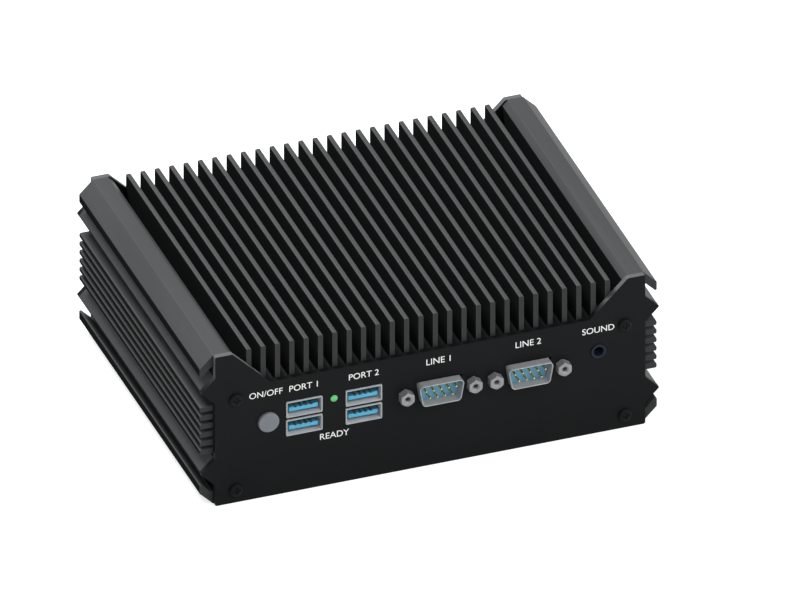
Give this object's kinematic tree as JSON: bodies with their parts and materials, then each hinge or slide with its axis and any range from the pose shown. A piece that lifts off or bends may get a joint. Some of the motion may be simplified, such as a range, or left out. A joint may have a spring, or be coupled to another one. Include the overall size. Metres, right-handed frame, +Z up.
{
  "type": "fanless industrial computer",
  "caption": "Box computer cooled by its finned aluminium extrusion, with sockets for peripherals, serial lines and sound, and a power button on the front plate.",
  "frame": {"origin": "centre of the overall footprint, on the plane of the underside that the computer rests on", "axes": "+Z up out of the fins, +X to the right as seen from the front, +Y from the front plate to the rear plate"},
  "size_m": [0.1682, 0.1306, 0.0605],
  "materials": {
    "bare_aluminium": "satin",
    "black_anodised": "satin",
    "black_plastic": "matte",
    "black_plate": "satin",
    "black_screws": "satin",
    "blue_plastic": "satin",
    "brass_parts": "satin",
    "chip_package": "matte",
    "circuit_board": "gloss",
    "coil_grey": "matte",
    "gold_contacts": "polished",
    "green_lens": "gloss",
    "grey_button": "satin",
    "navy_plastic": "gloss",
    "plated_steel": "satin",
    "socket_steel": "satin",
    "thermal_pad": "matte"
  },
  "bodies": {
    "computer": {"bottom_cover": "black_plate", "bottom_cover_screws": "black_screws", "clock_cell": "plated_steel", "clock_cell_holder": "black_plastic", "display_socket": "socket_steel", "display_tongue": "black_plastic", "front_plate": "black_plate", "front_plate_screws": "black_screws", "heat_block_screws": "plated_steel", "heat_spreader_block": "bare_aluminium", "heatsink_chassis": "black_anodised", "lan_contacts_left": "gold_contacts", "lan_contacts_right": "gold_contacts", "lan_socket_left": "socket_steel", "lan_socket_right": "socket_steel", "mainboard": "circuit_board", "mainboard_screws": "plated_steel", "mainboard_standoffs": "brass_parts", "memory_module": "circuit_board", "memory_socket": "black_plastic", "mounting_nuts": "plated_steel", "power_inlet": "black_plastic", "power_inlet_pin": "plated_steel", "power_switch_dome": "plated_steel", "power_switch_housing": "black_plastic", "processor": "chip_package", "rear_plate": "black_plate", "rear_plate_screws": "black_screws", "serial_insulator_left": "blue_plastic", "serial_insulator_right": "blue_plastic", "serial_jackscrews_left": "plated_steel", "serial_jackscrews_right": "plated_steel", "serial_pins_left": "gold_contacts", "serial_pins_right": "gold_contacts", "serial_shell_left": "socket_steel", "serial_shell_right": "socket_steel", "sound_socket": "navy_plastic", "status_light": "green_lens", "status_light_holder": "black_plastic", "storage_card": "circuit_board", "storage_screw": "plated_steel", "storage_socket": "black_plastic", "storage_spacer": "brass_parts", "supply_capacitors": "bare_aluminium", "supply_coils": "coil_grey", "thermal_pad": "thermal_pad", "usb_contacts_left": "gold_contacts", "usb_contacts_rear": "gold_contacts", "usb_contacts_right": "gold_contacts", "usb_insulator_left": "blue_plastic", "usb_insulator_rear": "blue_plastic", "usb_insulator_right": "blue_plastic", "usb_shell_left": "socket_steel", "usb_shell_rear": "socket_steel", "usb_shell_right": "socket_steel"},
    "button": {"power_button": "grey_button"}
  },
  "joints": [
    {"name": "power_button_press", "type": "slide", "parent": "computer", "child": "button", "axis": [0, 1, 0], "range_m": [0, 0.0008], "stiffness_N_per_m": 1500}
  ]
}
